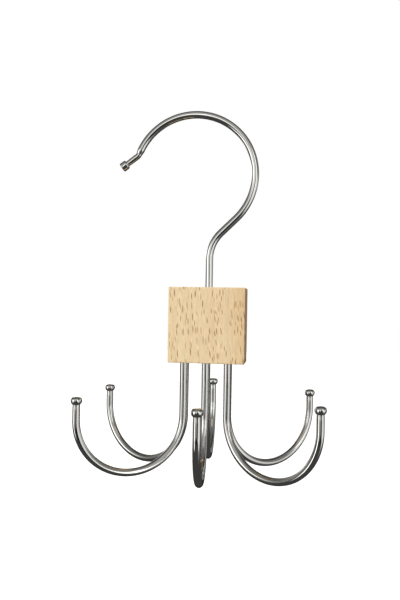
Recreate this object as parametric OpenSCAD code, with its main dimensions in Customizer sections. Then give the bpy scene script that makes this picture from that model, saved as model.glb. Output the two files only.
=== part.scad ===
// Hanger for ties and belts: a beech block that turns under a wire crook and carries six J-shaped wire hooks.
// Millimetres. The origin is where the rail touches the underside of the crook. +Z is up, along the swivel axis,
// +Y runs along the rail, away from the viewer, and +X is to the right.

/* [Wire] */
// Diameter of the wire of all the hooks
wire_d = 4; // [3.6:0.1:4.4]

/* [Block] */
// Width of the block, left to right
block_w = 40; // [36:0.5:46]
// Depth of the block, front to back
block_d = 20; // [18:0.5:26]
// Height of the block
block_h = 39.5; // [36:0.5:46]
// Width of the broken edges
block_edge = 0.5; // [0.2:0.1:1]

/* [Crook] */
// Radius of the crook, to the middle of the wire
crook_r = 32.5; // [28:0.5:36]
// Angle that the crook turns through
crook_sweep = 200.5; // [185:0.5:210]
// Straight part of the stem above the block
stem_rise = 15.5; // [12:0.5:22]
// Radius of the bend where the stem leans out
neck_bend_r = 19; // [14:0.5:24]
// Angle that the stem leans out by
neck_bend = 46; // [40:0.5:50]
// Straight part between the neck bend and the crook
neck_run = 11; // [8:0.5:14]
// Straight part between the crook and the lip bend
lip_link = 2.5; // [2:0.5:4]
// Part of it that keeps the full diameter of the wire
lip_full = 0.5; // [0.5:0.1:1]
// Diameter that the rest of it draws the wire down to
lip_d = 3.2; // [3.2:0.1:3.6]
// Radius of the bend that turns the lip away from the rail
lip_bend_r = 4; // [4:0.5:8]
// Angle of that bend
lip_bend = 28.5; // [20:0.5:40]
// Length of the lip, bead included
lip_run = 10.2; // [8:0.2:12]
// Diameter of the bead on the lip
lip_bead_d = 5; // [4.6:0.1:5.2]
// Height of the bead on the lip
lip_bead_h = 4; // [3.6:0.1:4.5]
// Radius of the shoulder of the bead on the lip
lip_bead_shoulder = 1; // [1:0.1:1.4]
// Radius of the rim of the bead on the lip
lip_bead_rim = 0.5; // [0.3:0.1:0.8]

/* [Swivel] */
// Outside diameter of the bush
bush_d = 7; // [6.6:0.1:8]
// Length of the bush, flange included
bush_h = 10; // [8:0.5:12]
// Diameter of the flange of the bush
flange_d = 9.5; // [9:0.5:11]
// Thickness of the flange
flange_h = 1.2; // [1:0.1:1.5]
// Radial clearance between the stem and the bush
swivel_gap = 0.05; // [0.02:0.01:0.08]
// Diameter of the head upset on the lower end of the stem
head_d = 5.8; // [5.4:0.1:6]
// Thickness of that head
head_h = 1.6; // [1.2:0.1:2]
// Play between the head and the end of the bush
head_play = 0.15; // [0.1:0.05:0.3]
// Space below the head in the block
head_room = 1.2; // [1:0.1:2]

/* [J hooks] */
// Distance between the left, middle and right pairs of legs
leg_pitch = 11.6; // [10:0.1:13]
// Distance between the front and rear rows of legs
row_pitch = 6; // [5.5:0.1:8]
// How far the rows are drilled off the middle of the block, to the left
row_shift = 0.8; // [0:0.1:1.5]
// Length of leg held in the block
leg_held = 15; // [10:0.5:18]
// Straight length of leg below the block
leg_drop = 28; // [20:0.5:36]
// Diameter of the bead on the free ends
bead_d = 5.8; // [5.4:0.1:6.2]
// Height of that bead
bead_h = 3.9; // [3.6:0.1:4.5]
// Radius of the shoulder of that bead
bead_shoulder = 2.3; // [1.6:0.1:2.5]
// Radius of the rim of that bead
bead_rim = 1.6; // [1:0.1:2.5]

/* [Hidden] */
$fn = 64;

// Sides and rows: which pair of legs, and which row
left = -1;
centre = 0;
right = 1;
front = -1;
rear = 1;

// Each J hook as it was bent: side, row, direction seen from above, bend radius, and height of its free end
front_left = [left, front, 208, 28, 11.5];
front_centre = [centre, front, 273.5, 27, 12.5];
front_right = [right, front, 326, 28, 12];
rear_left = [left, rear, 151, 28, 11];
rear_centre = [centre, rear, 92.5, 27.5, 13.5];
rear_right = [right, rear, 37.5, 28, 11];

wood = [0.88, 0.77, 0.60];
chrome = [0.78, 0.79, 0.80];
steel = [0.62, 0.63, 0.65];

wire_r = wire_d / 2;
overrun = 1;

// The wire thins by a hair in its bends, and each bend runs a short way into the straight wire on both sides of it
bend_thins = 0.01;
bend_overlap = 0.25;

// The crook's centre lies straight below the origin, and the rest follows along the wire
crook_z = wire_r - bend_thins - crook_r;
stem_x = crook_r * cos(neck_bend) - neck_run * sin(neck_bend) - neck_bend_r * (1 - cos(neck_bend));
stem_top = crook_z - (crook_r + neck_bend_r) * sin(neck_bend) - neck_run * cos(neck_bend);
block_top = stem_top - stem_rise;
block_bottom = block_top - block_h;
crook_end = crook_sweep - neck_bend;
lip_heading = 90 + crook_end - lip_bend;

// The swivel, from the top of the block down
bush_bottom = block_top - bush_h;
head_top = bush_bottom - head_play;
pocket_bottom = head_top - head_h - head_room;

// Bead upset on the end of a wire, standing on the end of it: the arc of the shoulder up to the widest place, the arc of
// the rim above it, with an upright side between them where both are small, and a flat top
module bead(d, h, neck_d, shoulder, rim) {
    steps = 6;
    low = acos(1 - (d - neck_d) / 2 / shoulder);
    widest = shoulder * sin(low);
    rim_z = max(widest, h - rim);
    high = asin(min(1, (h - rim_z) / rim));
    side = rim_z > widest ? [[d / 2, widest]] : [];
    shoulder_arc = [for (i = [0:steps - 1]) let (a = low * (i / steps - 1))
        [d / 2 - shoulder + shoulder * cos(a), widest + shoulder * sin(a)]];
    rim_arc = [for (i = [0:steps]) let (a = high * i / steps)
        [d / 2 - rim + rim * cos(a), rim_z + rim * sin(a)]];
    rotate_extrude()
        polygon(concat([[0, 0]], shoulder_arc, side, rim_arc, [[0, h]]));
}

// Bend of wire in the upright plane, round (x, z), from an angle counted from +X towards +Z
module wire_bend(x, z, r, from, sweep, d = wire_d) {
    overlap = bend_overlap / r * 180 / PI;
    translate([x, 0, z])
        rotate([90, 0, 0])
            rotate([0, 0, from - overlap])
                rotate_extrude(angle = sweep + 2 * overlap)
                    translate([r, 0])
                        circle(r = d / 2 - bend_thins);
}

// Moves what is built along +Z to (x, z) and points it along a heading, counted from +X towards +Z
module along(x, z, heading) {
    translate([x, 0, z])
        rotate([0, 90 - heading, 0])
            children();
}

// Box with all its edges broken, standing on z = 0
module broken_box(w, d, h, c) {
    module face(a, b) {
        polygon([[c - a / 2, -b / 2], [a / 2 - c, -b / 2], [a / 2, c - b / 2], [a / 2, b / 2 - c],
            [a / 2 - c, b / 2], [c - a / 2, b / 2], [-a / 2, b / 2 - c], [-a / 2, c - b / 2]]);
    }
    intersection() {
        linear_extrude(h) face(w, d);
        translate([0, d / 2, h / 2]) rotate([90, 0, 0]) linear_extrude(d) face(w, h);
        translate([-w / 2, 0, h / 2]) rotate([90, 0, 90]) linear_extrude(w) face(d, h);
    }
}

function leg_at(hook) = [stem_x - row_shift + hook[0] * leg_pitch, hook[1] * row_pitch / 2, block_bottom];

module block() {
    color(wood)
        difference() {
            translate([stem_x, 0, block_bottom]) broken_box(block_w, block_d, block_h, block_edge);
            translate([stem_x, 0, block_top - flange_h]) cylinder(d = flange_d, h = flange_h + overrun);
            translate([stem_x, 0, pocket_bottom]) cylinder(d = bush_d, h = block_top - pocket_bottom);
            for (hook = [front_left, front_centre, front_right, rear_left, rear_centre, rear_right])
                translate(leg_at(hook) - [0, 0, overrun]) cylinder(r = wire_r, h = leg_held + overrun);
        }
}

module swivel_bush() {
    color(steel)
        translate([stem_x, 0, bush_bottom])
            difference() {
                union() {
                    cylinder(d = bush_d, h = bush_h);
                    translate([0, 0, bush_h - flange_h]) cylinder(d = flange_d, h = flange_h);
                }
                translate([0, 0, -overrun]) cylinder(r = wire_r + swivel_gap, h = bush_h + 2 * overrun);
            }
}

module top_hook() {
    bend_x = stem_x + neck_bend_r;
    run_x = bend_x - neck_bend_r * cos(neck_bend);
    run_z = stem_top + neck_bend_r * sin(neck_bend);
    link_x = crook_r * cos(crook_end);
    link_z = crook_z + crook_r * sin(crook_end);
    lip_x = link_x - lip_link * sin(crook_end) + lip_bend_r * cos(crook_end);
    lip_z = link_z + lip_link * cos(crook_end) + lip_bend_r * sin(crook_end);
    lip_from = crook_end - 180 - lip_bend;
    color(chrome) {
        translate([stem_x, 0, head_top - head_h]) cylinder(d = head_d, h = head_h);
        translate([stem_x, 0, head_top]) cylinder(r = wire_r, h = stem_top - head_top);
        wire_bend(bend_x, stem_top, neck_bend_r, 180 - neck_bend, neck_bend);
        along(run_x, run_z, 90 - neck_bend) cylinder(r = wire_r, h = neck_run);
        wire_bend(0, crook_z, crook_r, -neck_bend, crook_sweep);
        along(link_x, link_z, crook_end + 90) {
            cylinder(r = wire_r, h = lip_full);
            translate([0, 0, lip_full]) cylinder(r1 = wire_r, r2 = lip_d / 2, h = lip_link - lip_full);
        }
        wire_bend(lip_x, lip_z, lip_bend_r, lip_from, lip_bend, lip_d);
        along(lip_x + lip_bend_r * cos(lip_from), lip_z + lip_bend_r * sin(lip_from), lip_heading) {
            cylinder(d = lip_d, h = lip_run - lip_bead_h);
            translate([0, 0, lip_run - lip_bead_h])
                bead(lip_bead_d, lip_bead_h, lip_d, lip_bead_shoulder, lip_bead_rim);
        }
    }
}

module j_hook(hook) {
    bend_r = hook[3];
    end_rise = hook[4] - bead_h;
    color(chrome)
        translate(leg_at(hook))
            rotate([0, 0, hook[2]]) {
                translate([0, 0, -leg_drop]) cylinder(r = wire_r, h = leg_drop + leg_held);
                wire_bend(bend_r, -leg_drop, bend_r, 180, 180);
                translate([2 * bend_r, 0, -leg_drop]) cylinder(r = wire_r, h = end_rise);
                translate([2 * bend_r, 0, end_rise - leg_drop])
                    bead(bead_d, bead_h, wire_d, bead_shoulder, bead_rim);
            }
}

module hook_front_left() { j_hook(front_left); }
module hook_front_centre() { j_hook(front_centre); }
module hook_front_right() { j_hook(front_right); }
module hook_rear_left() { j_hook(rear_left); }
module hook_rear_centre() { j_hook(rear_centre); }
module hook_rear_right() { j_hook(rear_right); }

block();
swivel_bush();
top_hook();
hook_front_left();
hook_front_centre();
hook_front_right();
hook_rear_left();
hook_rear_centre();
hook_rear_right();
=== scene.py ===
"""Hanger for ties and belts: chromed wire and a beech block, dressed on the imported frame."""
import math

import bmesh
import bpy
import numpy as np
from mathutils import Matrix, Vector


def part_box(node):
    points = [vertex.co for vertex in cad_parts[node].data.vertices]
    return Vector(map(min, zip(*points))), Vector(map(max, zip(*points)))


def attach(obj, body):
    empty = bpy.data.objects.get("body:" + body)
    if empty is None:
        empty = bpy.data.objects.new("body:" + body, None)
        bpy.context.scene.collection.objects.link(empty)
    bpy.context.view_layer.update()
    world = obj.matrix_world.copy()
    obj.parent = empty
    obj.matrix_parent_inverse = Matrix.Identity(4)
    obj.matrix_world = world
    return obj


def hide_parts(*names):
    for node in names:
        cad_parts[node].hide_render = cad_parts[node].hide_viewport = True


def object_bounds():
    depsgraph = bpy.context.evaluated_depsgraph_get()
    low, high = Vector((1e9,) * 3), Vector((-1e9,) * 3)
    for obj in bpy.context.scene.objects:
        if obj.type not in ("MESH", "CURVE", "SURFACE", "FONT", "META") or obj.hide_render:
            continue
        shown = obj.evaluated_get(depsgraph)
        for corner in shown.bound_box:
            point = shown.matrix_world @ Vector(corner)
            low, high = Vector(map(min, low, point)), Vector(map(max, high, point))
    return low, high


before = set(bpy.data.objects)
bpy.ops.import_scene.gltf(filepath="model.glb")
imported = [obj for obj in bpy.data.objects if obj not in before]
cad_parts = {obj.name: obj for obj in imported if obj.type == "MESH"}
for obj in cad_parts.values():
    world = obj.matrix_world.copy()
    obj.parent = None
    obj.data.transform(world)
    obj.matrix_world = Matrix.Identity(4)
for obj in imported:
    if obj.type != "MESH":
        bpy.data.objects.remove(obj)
cad_low, cad_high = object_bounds()

MM = 0.001

# Block, from the frame: the swivel's axis goes down through its middle
block_low, block_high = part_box("block")
stem_x = (block_low.x + block_high.x) / 2
block_top = block_high.z
block_bottom = block_low.z
block_middle = (block_top + block_bottom) / 2
edge_r = 0.45 * MM
edge_points = 5
edge_unevenness = 0.2
edge_waves = 3
block_grid = 0.7 * MM
sanding_depth = 0.012 * MM
weld_distance = 0.001 * MM

# Unevenness of the block: radians per millimetre along X, Y and Z, and the start of each wave
SWELL_WAVES = (
    (0.43, 0.21, -0.17, 1.3),
    (-0.19, 0.52, 0.33, 4.1),
    (0.28, -0.31, 0.61, 2.2),
)

# Wire: its rings stand one step apart, and in the thin neck under a bead at these distances from the bead
wire_r = 1.98 * MM
wire_sides = 48
ring_step = 0.4 * MM
neck_in = 0.05
neck_reach = 3 * MM
neck_rings = np.array([1.2, 0.9, 0.6, 0.3, 0.1]) * MM
crease = 38

# Crook, in the order of the wire from the head under the bush to the lip
head_r = 2.9 * MM
head_h = 1.6 * MM
head_edge = 0.1 * MM
head_step = 0.02 * MM
head_top = block_top - 10.15 * MM
stem_rise = 15.5 * MM
neck_bend_r = 19 * MM
neck_bend = 46
neck_run = 11 * MM
crook_r = 32.5 * MM
crook_sweep = 200.5
lip_link = 2.5 * MM
lip_full = 0.5 * MM
lip_wire_r = 1.59 * MM
lip_bend_r = 4 * MM
lip_bend = 28.5
lip_run = 10.2 * MM
lip_bead_r = 2.49 * MM
lip_bead_h = 3.99 * MM
lip_bead_shoulder = 1 * MM
lip_bead_rim = 0.5 * MM

# Bush
bush_r = 3.5 * MM
bush_bore_r = 2.05 * MM
bush_h = 10 * MM
bush_sunk = 0.05 * MM
flange_r = 4.72 * MM
flange_h = 1.2 * MM
flange_edge = 0.15 * MM
flange_bevel = 0.3
bush_sides = 96
recess_r = 4.78 * MM
pocket_depth = 12.95 * MM

# J hooks and the beads on their ends
leg_pitch = 11.6 * MM
row_pitch = 6 * MM
row_shift = 0.8 * MM
leg_held = 15 * MM
leg_drop = 28 * MM
bead_r = 2.89 * MM
bead_h = 3.89 * MM
bead_shoulder = 2.3 * MM
bead_rim = 1.6 * MM
bead_dome = 0.12 * MM
bead_pole = 0.05 * MM
bead_arc_rings = 14
bead_top_rings = 8
bore_r = 2.02 * MM
bore_rim = 0.25 * MM
overrun = 1 * MM

# Side, row, direction seen from above, bend radius and height of the free end
J_HOOKS = {
    "front_left": (-1, -1, 208, 28 * MM, 11.5 * MM),
    "front_centre": (0, -1, 273.5, 27 * MM, 12.5 * MM),
    "front_right": (1, -1, 326, 28 * MM, 12 * MM),
    "rear_left": (-1, 1, 151, 28 * MM, 11 * MM),
    "rear_centre": (0, 1, 92.5, 27.5 * MM, 13.5 * MM),
    "rear_right": (1, 1, 37.5, 28 * MM, 11 * MM),
}

# Looks: a grain is its size in millimetres along X, Y and Z, a ramp holds the values that its smooth step
# goes from and to, then what it gives there if that isn't 0 and 1, a cover is the share of a tone, and a
# tone is a linear colour
noise_middle = 0.5
cell_scatter = 0.9

# Beech: the grain leans by these degrees and sways, and the heart of the tree stands behind the block
beech_lean = (0, 4, 3)
sway_grain = (14, 14, 26)
sway_width = 3.2 * MM
facing_ramp = (0.6, 0.95)
yellow_tone = (0.850, 0.665, 0.410)
rosy_tone = (0.790, 0.575, 0.330)
rosy_ramp = (2 * MM, 24 * MM)
cloud_grain = (14, 14, 22)
cloud_shift = 20 * MM
heart_x = 7 * MM
heart_y = 78 * MM
year_width = 1.5 * MM
year_ramp = (0.30, 0.72)
year_tone = (0.96, 0.93, 0.90)
fibre_grain = (0.5, 0.5, 6)
fibre_ramp = (0.25, 0.75, 0.87, 1.11)
pore_grain = (0.22, 0.22, 1.6)
pore_ramp = (0.42, 0.16)
pore_tone = (0.46, 0.29, 0.14)
pore_cover = 0.13
side_tone = (0.98, 0.88, 0.74)
side_cover = 0.8
end_tone = (0.74, 0.63, 0.52)
end_cover = 0.9

# Flecks of beech: a share of the cells holds one, from faint to full, with a pale halo, and broken up on the
# sides
fleck_width = 0.8
fleck_height = 6.2
fleck_point = 1.5
fleck_least = 0.24
fleck_more = 0.16
fleck_share_ramp = (0.36, 0.34)
fleck_faint = 0.5
fleck_ramp = (1.15, 0.75)
fleck_tone = (0.31, 0.145, 0.050)
fleck_cover = 0.95
halo_ramp = (2.6, 1.2)
halo_lift = 0.06
broken_grain = (1.5, 5, 4)
broken_ramp = (0.38, 0.55, -1.0, -0.4)

# Relief and gloss of beech
fibre_rise = 0.35
pore_sink = -0.5
fleck_sink = -0.7
beech_relief = 0.03 * MM
beech_relief_share = 0.7
beech_roughness = 0.42
fibre_roughness = 0.16
beech_specular = 0.35

# Chrome: the lines of drawing are counted round the wire and along one circumference of it
chrome_tone = (0.84, 0.837, 0.820)
drawn_lines = (34, 1.2, 0)
line_rise = 0.02
line_haze = 0.35
wave_grain = (5, 5, 5)
wave_rise = 0.5
haze_grain = (7, 7, 12)
haze_ramp = (0.45, 0.95, 0.03, 0.09)
pit_grain = (1.1, 1.1, 1.1)
pit_share_ramp = (0.035, 0.03)
pit_ramp = (0.16, 0.07)
pit_tone = (0.25, 0.24, 0.23)
pit_cover = 0.7
pit_sink = -0.6
chrome_relief = 0.04 * MM
chrome_relief_share = 0.5

# Steel of the bush
pale_steel = (0.66, 0.66, 0.64)
dark_steel = (0.54, 0.55, 0.56)
steel_grain = (1.5, 1.5, 1.5)
steel_ramp = (0.3, 0.7, 0.26, 0.42)
turning_pitch = 0.12 * MM
steel_relief = 0.02 * MM
steel_relief_share = 0.6

# Camera: where it stands and what it aims at, from the middle of the block
camera_distance = 331.66 * MM
camera_azimuth = 6.77
camera_elevation = 1.35
camera_roll = 1.02
camera_aim_left = 4.65 * MM
camera_aim_up = 13.2 * MM
camera_lens = 37.42
camera_near = 10 * MM

# Light on matt surfaces, at levels at which a colour renders as it is written, and the floor
room_level = 0.38
key_level = 0.92
key_azimuth = -38
key_elevation = 38
back_level = 0.5
back_azimuth = -150
back_elevation = 30
lamp_softness = 50
floor_drop = 330 * MM
floor_reach = 6.0
floor_tone = (0.8, 0.8, 0.8)
floor_glow = 0.35

# What the chrome sees round the hanger: azimuth from the studio's front, positive to the right, elevation,
# half width, half height, softness of the edge, and the brightness that a panel adds or the share that a
# shade takes
studio_azimuth = 6
studio_tint = (1.0, 0.99, 0.96)
PANELS = {
    "left panel": (-55, 5, 15, 15, 10, 1.6),
    "left panel, lower end": (-60, -20, 5, 10, 5, 2.5),
    "left strip": (-15, 0, 5, 15, 5, 1.3),
    "right strip": (35, 5, 5, 25, 5, 2.0),
    "right panel": (55, -10, 5, 20, 5, 1.0),
    "right wall": (80, -5, 15, 15, 10, 0.5),
    "low right": (65, -20, 15, 15, 20, 0.5),
    "front ceiling": (0, 35, 45, 25, 5, 0.2),
    "lit backdrop": (185, 10, 10, 5, 5, 2.0),
    "rear band": (-145, 10, 25, 5, 5, 1.2),
    "rear left": (-135, -10, 15, 5, 5, 1.0),
}
SHADES = {
    "dark front": (10, -15, 25, 10, 5, 0.8),
    "dark rear": (180, -20, 10, 20, 10, 0.8),
    "dark high rear": (180, 50, 90, 20, 15, 0.8),
    "dark zenith": (0, 90, 180, 30, 10, 0.3),
}
ceiling_level = 0.2
ground_level = 0.05
horizon_low = -5
horizon_high = 0


def link(piece):
    """Puts an object into the scene."""
    bpy.context.scene.collection.objects.link(piece)
    return piece


def mesh_object(name, points, faces, material):
    """A smooth-shaded object at the origin whose edges sharper than the crease stay sharp."""
    mesh = bpy.data.meshes.new(name)
    mesh.from_pydata(points.reshape(-1, 3), [], faces)
    mesh.shade_smooth()
    mesh.set_sharp_from_angle(angle=math.radians(crease))
    if material:
        mesh.materials.append(material)
    return link(bpy.data.objects.new(name, mesh))


def grid_faces(rows, columns, rows_close=False, columns_close=False):
    """Four-sided faces of a grid whose point (k, j) is number k columns + j. Where rows or columns close,
    the last one is joined to the first."""
    k, j = np.meshgrid(
        np.arange(rows if rows_close else rows - 1),
        np.arange(columns if columns_close else columns - 1),
        indexing="ij")
    above = (k + 1) % rows
    after = (j + 1) % columns
    faces = [k * columns + j, k * columns + after, above * columns + after, above * columns + j]
    return np.stack(faces, -1).reshape(-1, 4)


def closed_rings(name, points, distances, material):
    """A closed surface over rings: points[k, j] is point j of ring k, each ring runs round, and a pole
    closes the first and the last ring. The UV map holds the share of the way round, and the distance along
    the wire counted in its circumferences."""
    rings, sides = points.shape[:2]
    poles = np.array([points[0].mean(0), points[-1].mean(0)])
    quads = grid_faces(rings, sides, columns_close=True)
    here = np.arange(sides)
    there = (here + 1) % sides
    last = (rings - 1) * sides
    low_fan = np.stack([there, here, np.full(sides, rings * sides)], -1)
    high_fan = np.stack([last + here, last + there, np.full(sides, rings * sides + 1)], -1)
    faces = quads.tolist() + low_fan.tolist() + high_fan.tolist()
    piece = mesh_object(name, np.concatenate([points.reshape(-1, 3), poles]), faces, material)
    u = here / sides
    u_after = u + 1 / sides
    v = distances / (2 * math.pi * wire_r)
    first = quads[:, 0] % sides
    quad_u = np.stack([u[first], u_after[first], u_after[first], u[first]], -1)
    low_u = np.stack([u_after, u, u], -1)
    high_u = np.stack([u, u_after, u], -1)
    uv_u = np.concatenate([quad_u.ravel(), low_u.ravel(), high_u.ravel()])
    uv_v = np.concatenate([v[quads // sides].ravel(), np.full(3 * sides, v[0]), np.full(3 * sides, v[-1])])
    uv_map = piece.data.uv_layers.new(name="along_the_wire")
    uv_map.data.foreach_set("uv", np.stack([uv_u, uv_v], -1).ravel())
    return piece


def centre_line(heading, moves, distances):
    """Points (s, z) and headings at the given distances along a line of straight runs and arcs in one
    upright plane. A move is (length, curvature). The heading is counted from +s towards +z, and on an arc it
    turns by the curvature times the distance."""
    s = z = travelled = 0.0
    points = np.zeros((len(distances), 2))
    headings = np.zeros(len(distances))
    for length, curvature in moves:
        here = distances >= travelled
        along = distances[here] - travelled
        headings[here] = heading + curvature * along
        turn = heading + curvature * length
        if curvature:
            points[here, 0] = s + (np.sin(headings[here]) - math.sin(heading)) / curvature
            points[here, 1] = z - (np.cos(headings[here]) - math.cos(heading)) / curvature
            s += (math.sin(turn) - math.sin(heading)) / curvature
            z -= (math.cos(turn) - math.cos(heading)) / curvature
        else:
            points[here, 0] = s + along * math.cos(heading)
            points[here, 1] = z + along * math.sin(heading)
            s += length * math.cos(heading)
            z += length * math.sin(heading)
        heading = turn
        travelled += length
    return points, headings


def bent_wire(name, foot, direction, heading, moves, stations, material=None):
    """A round wire bent in the upright plane through foot that faces direction. Ring k is square to the
    centre line at distance stations[k, 0] and has radius stations[k, 1]: its points are
    centre + radius (cos t side - sin t across), with t going round."""
    out = np.array([math.cos(direction), math.sin(direction), 0.0])
    across = np.array([-out[1], out[0], 0.0])
    up = np.array([0.0, 0.0, 1.0])
    line, headings = centre_line(heading, moves, stations[:, 0])
    centres = np.array(foot) + line[:, :1] * out + line[:, 1:] * up
    side = -np.sin(headings)[:, None] * out + np.cos(headings)[:, None] * up
    t = 2 * math.pi * np.arange(wire_sides)[:, None] / wire_sides
    radii = stations[:, 1][:, None, None]
    points = centres[:, None] + radii * (np.cos(t) * side[:, None] - np.sin(t) * across)
    return closed_rings(name, points, stations[:, 0], material)


def bead_profile(radius, height, neck_r, shoulder, rim):
    """Stations of an upset bead from its neck up: the arc of the shoulder, the arc of the rim, and a top
    that domes a little. A station of an arc is its middle plus (r sin a, r cos a)."""
    low = math.acos(1 - (radius - neck_r) / shoulder)
    widest = shoulder * math.sin(low)
    a = np.linspace(-low, 0, bead_arc_rings)
    side = np.stack([widest + shoulder * np.sin(a), radius - shoulder + shoulder * np.cos(a)], -1)
    flat = height - bead_dome
    middle = max(widest, flat - rim)
    a = np.linspace(0, math.asin(min(1, (flat - middle) / rim)), bead_arc_rings)
    edge = np.stack([middle + rim * np.sin(a), radius - rim + rim * np.cos(a)], -1)
    r = np.linspace(edge[-1, 1], bead_pole, bead_top_rings)[1:]
    top = np.stack([height - bead_dome * (r / edge[-1, 1]) ** 2, r], -1)
    return np.concatenate([side, edge[1:], top])


def beaded_stations(length, bead, radius_at):
    """Stations of a wire of that length and of the bead that stands on it. The wire thins by a smooth step
    towards the bead."""
    close = length - neck_rings
    d = np.concatenate([np.arange(0, close[0] - ring_step / 2, ring_step), close])
    near = np.clip(1 - (length - d) / neck_reach, 0, 1)
    radii = radius_at(d) * (1 - neck_in * near * near * (3 - 2 * near))
    return np.concatenate([np.stack([d, radii], -1), bead + [length, 0]])


def leg_place(side, row):
    """Where the leg on that side (-1, 0 or 1) of that row (-1 front, 1 rear) goes down, in X and Y."""
    return stem_x - row_shift + side * leg_pitch, row * row_pitch / 2


def j_hook(hook, material):
    """Leg held in the block, half a turn of bend, and a free end that rises to a bead."""
    side, row, direction, bend_r, rise = J_HOOKS[hook]
    foot = (*leg_place(side, row), block_bottom + leg_held)
    straight = leg_held + leg_drop
    moves = [(straight, 0), (math.pi * bend_r, 1 / bend_r), (rise, 0)]
    bead = bead_profile(bead_r, bead_h, wire_r * (1 - neck_in), bead_shoulder, bead_rim)
    length = straight + math.pi * bend_r + rise - bead_h
    stations = beaded_stations(length, bead, lambda d: np.full(len(d), wire_r))
    return bent_wire("wire_" + hook, foot, math.radians(direction), -math.pi / 2, moves, stations, material)


def crook(material):
    """Head, stem, neck bend, crook and lip in one length of wire, drawn down to the bead that ends it."""
    moves = [
        (head_h + block_top + stem_rise - head_top, 0),
        (neck_bend_r * math.radians(neck_bend), -1 / neck_bend_r),
        (neck_run, 0),
        (crook_r * math.radians(crook_sweep), 1 / crook_r),
        (lip_link, 0),
        (lip_bend_r * math.radians(lip_bend), -1 / lip_bend_r),
        (lip_run, 0),
    ]
    end = sum(length for length, curvature in moves)
    drawn = end - lip_run - lip_bend_r * math.radians(lip_bend)
    full = drawn - lip_link + lip_full
    bead = bead_profile(
        lip_bead_r, lip_bead_h, lip_wire_r * (1 - neck_in), lip_bead_shoulder, lip_bead_rim)
    stations = beaded_stations(
        end - lip_bead_h, bead, lambda d: np.interp(d, [full, drawn], [wire_r, lip_wire_r]))
    head = np.array([
        [0, head_r - head_edge], [head_edge, head_r], [head_h, head_r], [head_h + head_step, wire_r]])
    stations = np.concatenate([head, stations[stations[:, 0] > head_h + head_step]])
    foot = (stem_x, 0.0, head_top - head_h)
    return bent_wire("wire_crook", foot, 0.0, math.pi / 2, moves, stations, material)


def turned_bush(material):
    """Flanged sleeve: a closed outline (radius, height), its visible corners broken, turned round the axis
    of the swivel."""
    top = block_top - bush_sunk
    low = block_top - bush_h
    c = flange_edge
    bevel = flange_bevel * c
    outline = np.array([
        [bush_bore_r, low], [bush_r, low], [bush_r, block_top - flange_h], [flange_r, block_top - flange_h],
        [flange_r, top - c], [flange_r - bevel, top - bevel], [flange_r - c, top],
        [bush_bore_r + c, top], [bush_bore_r + bevel, top - bevel], [bush_bore_r, top - c]])
    t = 2 * math.pi * np.arange(bush_sides) / bush_sides
    r = outline[:, 0][:, None]
    z = np.broadcast_to(outline[:, 1][:, None], (len(outline), bush_sides))
    points = np.stack([stem_x + r * np.cos(t), r * np.sin(t), z], -1)
    faces = grid_faces(len(outline), bush_sides, rows_close=True, columns_close=True)
    return mesh_object("bush_turned", points, faces.tolist(), material)


def swell(p):
    """Slow unevenness between -1 and 1, as of hand sanding: the mean of the crossed sine waves."""
    x, y, z = (p / MM).T
    waves = [np.sin(a * x + b * y + c * z + start) for a, b, c, start in SWELL_WAVES]
    return sum(waves) / len(waves)


def planed_block(material):
    """Rounded box with a grid on each face: a point q of the sharp box goes to the nearest point of the box
    drawn in by the edge radius, and from there out towards q by that radius. The radius and the faces swell
    a little."""
    half = np.array(block_high - block_low) / 2
    middle = np.array(block_high + block_low) / 2
    steps = edge_r * np.tan(np.radians(np.linspace(0, 45, edge_points)))

    def line(h):
        """Places of the grid along a face of half width h: even on the flat, and finer on the edges."""
        count = round(2 * (h - edge_r) / block_grid)
        flat = np.linspace(edge_r - h, h - edge_r, count + 1)
        return np.concatenate([-(h - edge_r + steps[:0:-1]), flat, h - edge_r + steps[1:]])

    points = []
    faces = []
    count = 0
    for axis in range(3):
        first = (axis + 1) % 3
        second = (axis + 2) % 3
        a, b = np.meshgrid(line(half[first]), line(half[second]), indexing="ij")
        outward = grid_faces(*a.shape)[:, [0, 3, 2, 1]]
        for sign in (-1, 1):
            q = np.zeros((a.size, 3))
            q[:, axis] = sign * half[axis]
            q[:, first] = a.ravel()
            q[:, second] = b.ravel()
            points.append(q)
            faces += (outward[:, ::sign] + count).tolist()
            count += len(q)
    q = np.concatenate(points)
    r = edge_r * (1 + edge_unevenness * swell(edge_waves * q))[:, None]
    core = np.clip(q, r - half, half - r)
    out = q - core
    out /= np.linalg.norm(out, axis=1)[:, None]
    shape = middle + core + out * (r - sanding_depth * (1 + swell(q))[:, None])
    return mesh_object("block_beech", shape, faces, material)


def merge(piece):
    """Joins the points that the faces of a piece share."""
    work = bmesh.new()
    work.from_mesh(piece.data)
    bmesh.ops.remove_doubles(work, verts=work.verts, dist=weld_distance)
    work.to_mesh(piece.data)
    work.free()


def cut(piece, tools):
    """Takes each tool out of the piece and removes the tool."""
    for tool in tools:
        change = piece.modifiers.new("cut", "BOOLEAN")
        change.operation = "DIFFERENCE"
        change.solver = "EXACT"
        change.object = tool
    whole = bpy.data.meshes.new_from_object(piece.evaluated_get(bpy.context.evaluated_depsgraph_get()))
    piece.modifiers.clear()
    piece.data = whole
    whole.set_sharp_from_angle(angle=math.radians(crease))
    for tool in tools:
        bpy.data.objects.remove(tool)


def drill(x, y, z, heights, radii):
    """A round cutter that stands upright on a point, with these radii at these heights above it."""
    return bent_wire(
        "drill", (x, y, z), 0.0, math.pi / 2, [(heights[-1], 0)], np.stack([heights, radii], -1))


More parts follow.
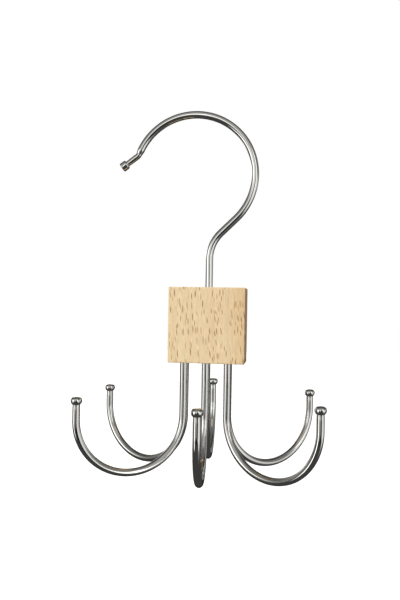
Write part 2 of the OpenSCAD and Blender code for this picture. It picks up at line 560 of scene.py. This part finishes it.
def bored_block(material):
    """The block with its six blind bores, their rims broken, and the stepped bore for the swivel."""
    piece = planed_block(material)
    merge(piece)
    tools = []
    for side, row, *_ in J_HOOKS.values():
        tools.append(drill(
            *leg_place(side, row), block_bottom - overrun,
            [0, overrun, overrun + bore_rim, overrun + leg_held],
            [bore_r + bore_rim + overrun, bore_r + bore_rim, bore_r, bore_r]))
    step = pocket_depth - flange_h
    tools.append(drill(
        stem_x, 0.0, block_top - pocket_depth,
        [0, step, step, pocket_depth + overrun],
        [bush_r, bush_r, recess_r, recess_r]))
    cut(piece, tools)
    return piece


class Tree:
    """Short ways to add nodes to a material or a world."""

    def __init__(self, owner):
        owner.use_nodes = True
        self.tree = owner.node_tree
        self.tree.nodes.clear()

    def fill(self, socket, value):
        """Links a socket to the value if that is another node's socket, and otherwise sets it."""
        if isinstance(value, bpy.types.NodeSocket):
            self.tree.links.new(value, socket)
        else:
            socket.default_value = value

    def node(self, kind, inputs=None, **settings):
        """A node with its settings made and its inputs filled."""
        made = self.tree.nodes.new("ShaderNode" + kind)
        for key, value in settings.items():
            setattr(made, key, value)
        for key, value in (inputs or {}).items():
            self.fill(made.inputs[key], value)
        return made

    def math(self, operation, *values):
        """The operation on numbers."""
        return self.node("Math", dict(enumerate(values)), operation=operation).outputs[0]

    def vector(self, operation, *values):
        """The operation on vectors."""
        return self.node("VectorMath", dict(enumerate(values)), operation=operation).outputs[0]

    def split(self, vector):
        """The parts of a vector, under the names X, Y and Z."""
        return self.node("SeparateXYZ", {"Vector": vector}).outputs

    def scaled(self, colour, amount):
        """The colour times the amount."""
        return self.node("VectorMath", {0: colour, "Scale": amount}, operation="SCALE").outputs[0]

    def ramp(self, value, low, high, to_low=0.0, to_high=1.0):
        """Smooth step: to_low where the value is low, to_high where it is high."""
        sockets = {"Value": value, "From Min": low, "From Max": high, "To Min": to_low, "To Max": to_high}
        return self.node("MapRange", sockets, interpolation_type="SMOOTHSTEP").outputs["Result"]

    def mix(self, share, a, b, blend="MIX"):
        """Colour b over colour a by that share. The colours are inputs 6 and 7 of the node and output 2."""
        made = self.node("Mix", {"Factor": share}, data_type="RGBA", blend_type=blend)
        for key, colour in ((6, a), (7, b)):
            self.fill(made.inputs[key], (*colour, 1) if isinstance(colour, tuple) else colour)
        return made.outputs[2]

    def in_grains(self, place, grain):
        """The place counted in grains of these sizes, in millimetres, along X, Y and Z."""
        return self.vector("MULTIPLY", place, tuple(1 / (size * MM) for size in grain))

    def noise(self, place, grain, detail=2.0, roughness=0.5):
        """Noise between 0 and 1 with grains of these sizes."""
        sockets = {
            "Vector": self.in_grains(place, grain), "Scale": 1.0, "Detail": detail, "Roughness": roughness}
        return self.node("TexNoise", sockets).outputs["Fac"]

    def rings(self, place, x, y, width):
        """Rings of about that width round the upright axis through x and y: noise along the distance."""
        sockets = {"Vector": place, "Location": (-x, -y, 0), "Scale": (1, 1, 0)}
        flat = self.node("Mapping", sockets).outputs[0]
        distance = self.node("VectorMath", {0: flat}, operation="LENGTH").outputs["Value"]
        sockets = {"W": self.math("MULTIPLY", distance, 1 / width), "Scale": 1.0, "Detail": 2.0}
        return self.node("TexNoise", sockets, noise_dimensions="1D").outputs["Fac"]

    def cells(self, place, more=None, **settings):
        """Scattered cells about 1 across: the distance from a cell's point, and a random colour for it."""
        sockets = {"Vector": place, "Scale": 1.0, "Randomness": cell_scatter, **(more or {})}
        made = self.node("TexVoronoi", sockets, **settings)
        return made.outputs["Distance"], made.outputs["Color"]

    def shares(self, colour):
        """The three random shares that a cell's colour holds."""
        return self.node("SeparateColor", {"Color": colour}).outputs

    def lenses(self, place, width, height):
        """Cells in the upright plane that run on into the depth, in a metric whose circles are pointed."""
        split = self.split(place)
        flat = self.node("CombineXYZ", {"X": split["X"], "Y": split["Z"]}).outputs[0]
        scaled = self.vector("MULTIPLY", flat, (1 / (width * MM), 1 / (height * MM), 0))
        return self.cells(scaled, {"Exponent": fleck_point}, voronoi_dimensions="2D", distance="MINKOWSKI")

    def relief(self, height, depth, share):
        """Bump in which a height of 1 stands for that depth, at that share of its full strength."""
        return self.node("Bump", {"Strength": share, "Distance": depth, "Height": height}).outputs[0]

    def surface(self, **sockets):
        """Ends a material in the principled shader. A socket's name has underscores for its spaces."""
        named = {key.replace("_", " "): value for key, value in sockets.items()}
        shader = self.node("BsdfPrincipled", named)
        self.node("OutputMaterial", {"Surface": shader.outputs[0]})


def beech():
    """Solid beech: rays are upright lenses that run on into the depth, so that the front shows short flecks,
    the sides bands and the ends fine lines. Year rings are wide round a heart far behind, fibres and pores
    run upright."""
    made = bpy.data.materials.new("beech")
    t = Tree(made)
    where = t.node("TexCoord")
    place = t.vector("SUBTRACT", where.outputs["Object"], (stem_x, 0, block_middle))
    turn = tuple(math.radians(angle) for angle in beech_lean)
    lean = t.node("Mapping", {"Vector": place, "Rotation": turn}).outputs[0]
    drift = t.math("SUBTRACT", t.noise(lean, sway_grain, detail=1.0), noise_middle)
    sway = t.node("CombineXYZ", {"X": t.math("MULTIPLY", drift, sway_width)}).outputs[0]
    grain = t.vector("ADD", lean, sway)
    facing = t.split(t.vector("ABSOLUTE", where.outputs["Normal"]))
    side = t.ramp(facing["X"], *facing_ramp)
    end = t.ramp(facing["Z"], *facing_ramp)

    distance, cell = t.lenses(grain, fleck_width, fleck_height)
    share = t.shares(cell)
    reach = t.math("DIVIDE", distance, t.math("MULTIPLY_ADD", share[1], fleck_more, fleck_least))
    strength = t.math("MULTIPLY_ADD", share[2], 1 - fleck_faint, fleck_faint)
    kept = t.math("MULTIPLY", t.ramp(share[0], *fleck_share_ramp), strength)
    fleck = t.math("MULTIPLY", t.ramp(reach, *fleck_ramp), kept)
    halo = t.math("MULTIPLY", t.ramp(reach, *halo_ramp), kept)
    broken = t.ramp(t.noise(grain, broken_grain), *broken_ramp)
    fleck = t.math("MULTIPLY", fleck, t.math("MULTIPLY_ADD", side, broken, 1.0))

    years = t.ramp(t.rings(grain, heart_x, heart_y, year_width), *year_ramp)
    fibre = t.noise(grain, fibre_grain, detail=3.0, roughness=0.65)
    pore = t.ramp(t.cells(t.in_grains(grain, pore_grain))[0], *pore_ramp)
    cloud = t.math("SUBTRACT", t.noise(place, cloud_grain), noise_middle)
    rosy = t.ramp(t.math("MULTIPLY_ADD", cloud, cloud_shift, t.split(place)["X"]), *rosy_ramp)

    tone = t.mix(rosy, yellow_tone, rosy_tone)
    tone = t.mix(years, tone, year_tone, "MULTIPLY")
    tone = t.scaled(tone, t.ramp(fibre, *fibre_ramp))
    tone = t.scaled(tone, t.math("MULTIPLY_ADD", halo, halo_lift, 1.0))
    tone = t.mix(t.math("MULTIPLY", pore, pore_cover), tone, pore_tone)
    tone = t.mix(t.math("MULTIPLY", fleck, fleck_cover), tone, fleck_tone)
    tone = t.mix(t.math("MULTIPLY", side, side_cover), tone, side_tone, "MULTIPLY")
    tone = t.mix(t.math("MULTIPLY", end, end_cover), tone, end_tone, "MULTIPLY")

    height = t.math("MULTIPLY_ADD", fibre, fibre_rise, t.math("MULTIPLY", pore, pore_sink))
    height = t.math("MULTIPLY_ADD", fleck, fleck_sink, height)
    t.surface(
        Base_Color=tone,
        Roughness=t.math("MULTIPLY_ADD", fibre, fibre_roughness, beech_roughness),
        Normal=t.relief(height, beech_relief, beech_relief_share),
        Specular_IOR_Level=beech_specular)
    return made


def chrome():
    """Bright plate over drawn wire: faint lines along the wire, a slow unevenness, and a few small pits."""
    made = bpy.data.materials.new("chrome_wire")
    t = Tree(made)
    where = t.node("TexCoord")
    drawn = t.vector("MULTIPLY", where.outputs["UV"], drawn_lines)
    sockets = {"Vector": drawn, "Scale": 1.0, "Detail": 3.0, "Roughness": 0.7}
    lines = t.node("TexNoise", sockets).outputs["Fac"]
    place = where.outputs["Object"]
    waves = t.noise(place, wave_grain, detail=1.0)
    haze = t.noise(place, haze_grain, detail=3.0)
    distance, cell = t.cells(t.in_grains(place, pit_grain))
    pit = t.math(
        "MULTIPLY", t.ramp(t.shares(cell)[0], *pit_share_ramp), t.ramp(distance, *pit_ramp))
    height = t.math("MULTIPLY_ADD", lines, line_rise, t.math("MULTIPLY", waves, wave_rise))
    height = t.math("MULTIPLY_ADD", pit, pit_sink, height)
    t.surface(
        Base_Color=t.mix(t.math("MULTIPLY", pit, pit_cover), chrome_tone, pit_tone),
        Metallic=1.0,
        Roughness=t.ramp(t.math("MULTIPLY_ADD", lines, line_haze, haze), *haze_ramp),
        Normal=t.relief(height, chrome_relief, chrome_relief_share))
    return made


def turned_steel():
    """Zinc-plated steel with the fine rings that the turning tool left round the swivel's axis."""
    made = bpy.data.materials.new("bush_steel")
    t = Tree(made)
    where = t.node("TexCoord").outputs["Object"]
    cloud = t.noise(where, steel_grain, detail=3.0)
    t.surface(
        Base_Color=t.mix(cloud, pale_steel, dark_steel),
        Metallic=1.0,
        Roughness=t.ramp(cloud, *steel_ramp),
        Normal=t.relief(t.rings(where, stem_x, 0, turning_pitch), steel_relief, steel_relief_share))
    return made


def studio():
    """The world: white to the camera, a plain level to matt surfaces, and to gloss the studio's panels and
    shades, each a soft-edged patch of azimuth and elevation."""
    made = bpy.data.worlds.new("studio")
    t = Tree(made)
    ray = t.node("LightPath").outputs
    way = t.node("TexCoord").outputs["Generated"]
    turn = (0, 0, math.radians(-studio_azimuth))
    split = t.split(t.node("Mapping", {"Vector": way, "Rotation": turn}).outputs[0])
    azimuth = t.math("ARCTAN2", split["X"], t.math("MULTIPLY", split["Y"], -1.0))
    elevation = t.math("ARCSINE", split["Z"])

    def patch(*degrees):
        """1 inside the patch, 0 outside it, and a smooth step of both angles across its soft edge."""
        at, height, half_width, half_height, soft = (math.radians(angle) for angle in degrees)
        beside = t.math("ARCCOSINE", t.math("COSINE", t.math("SUBTRACT", azimuth, at)))
        above = t.math("ABSOLUTE", t.math("SUBTRACT", elevation, height))
        wide = t.ramp(beside, half_width + soft, half_width - soft)
        high = t.ramp(above, half_height + soft, half_height - soft)
        return t.math("MULTIPLY", wide, high)

    level = t.ramp(
        elevation, math.radians(horizon_low), math.radians(horizon_high), ground_level, ceiling_level)
    for *sizes, brightness in PANELS.values():
        level = t.math("MULTIPLY_ADD", patch(*sizes), brightness, level)
    for *sizes, share in SHADES.values():
        level = t.math("MULTIPLY", level, t.math("MULTIPLY_ADD", patch(*sizes), -share, 1.0))
    gloss = t.math("MAXIMUM", ray["Is Glossy Ray"], ray["Is Transmission Ray"])
    colour = t.mix(gloss, (room_level,) * 3, t.scaled(studio_tint, level))
    colour = t.mix(ray["Is Camera Ray"], colour, (1.0, 1.0, 1.0))
    back = t.node("Background", {"Color": colour})
    t.node("OutputWorld", {"Surface": back.outputs[0]})
    bpy.context.scene.world = made


def towards(azimuth, elevation):
    """Unit vector to an azimuth, counted from the front to the right, and an elevation."""
    a = math.radians(azimuth)
    e = math.radians(elevation)
    return Vector((math.sin(a) * math.cos(e), -math.cos(a) * math.cos(e), math.sin(e)))


def lamp(name, azimuth, elevation, level):
    """A soft distant lamp that lights a matt surface facing it at that level. Gloss sees the studio."""
    data = bpy.data.lights.new(name, "SUN")
    data.energy = level * math.pi
    data.angle = math.radians(lamp_softness)
    made = link(bpy.data.objects.new(name, data))
    made.rotation_mode = "QUATERNION"
    made.rotation_quaternion = towards(azimuth + studio_azimuth, elevation).to_track_quat("Z", "Y")
    made.visible_glossy = False


def floor():
    """Pale floor well below the hanger, white to the camera but for the shadow that falls on it."""
    made = bpy.data.materials.new("floor_paint")
    t = Tree(made)
    matt = t.node("BsdfDiffuse", {"Color": (*floor_tone, 1)})
    glow = t.node("Emission", {"Strength": floor_glow})
    both = t.node("AddShader", {0: matt.outputs[0], 1: glow.outputs[0]})
    camera_ray = t.node("LightPath").outputs["Is Camera Ray"]
    shown = t.node("MixShader", {0: camera_ray, 1: matt.outputs[0], 2: both.outputs[0]})
    t.node("OutputMaterial", {"Surface": shown.outputs[0]})
    z = cad_low.z - floor_drop
    corners = floor_reach * np.array([[-1, -1, 0], [1, -1, 0], [1, 1, 0], [-1, 1, 0]]) + [0, 0, z]
    ground = mesh_object("floor", corners, [(0, 1, 2, 3)], made)
    ground.visible_glossy = False
    ground.visible_diffuse = False


def camera():
    """Stands at a distance, azimuth and elevation from the middle of the block, aims beside and above it,
    and rolls."""
    up = Vector((0, 0, 1))
    middle = Vector((stem_x, 0, block_middle))
    away = towards(camera_azimuth, camera_elevation)
    left = away.cross(up).normalized()
    place = middle + camera_distance * away
    aim = middle + camera_aim_left * left + camera_aim_up * up
    ahead = (aim - place).normalized()
    right = ahead.cross(up).normalized()
    roll = Matrix.Rotation(math.radians(-camera_roll), 3, ahead)
    turn = Matrix((roll @ right, roll @ right.cross(ahead), -ahead)).transposed()
    data = bpy.data.cameras.new("camera")
    data.lens = camera_lens
    data.clip_start = camera_near
    seen = link(bpy.data.objects.new("camera", data))
    seen.matrix_world = Matrix.Translation(place) @ turn.to_4x4()
    bpy.context.scene.camera = seen


def dress(piece, body, node):
    """Lets a piece ride on its body and stand for its node."""
    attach(piece, body)
    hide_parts(node)


plate = chrome()
for hook in J_HOOKS:
    dress(j_hook(hook, plate), "carrier", "hook_" + hook)
dress(crook(plate), "crook", "top_hook")
dress(bored_block(beech()), "carrier", "block")
dress(turned_bush(turned_steel()), "carrier", "swivel_bush")

studio()
lamp("key", key_azimuth, key_elevation, key_level)
lamp("back", back_azimuth, back_elevation, back_level)
floor()
camera()
bpy.context.scene.view_settings.view_transform = "Standard"
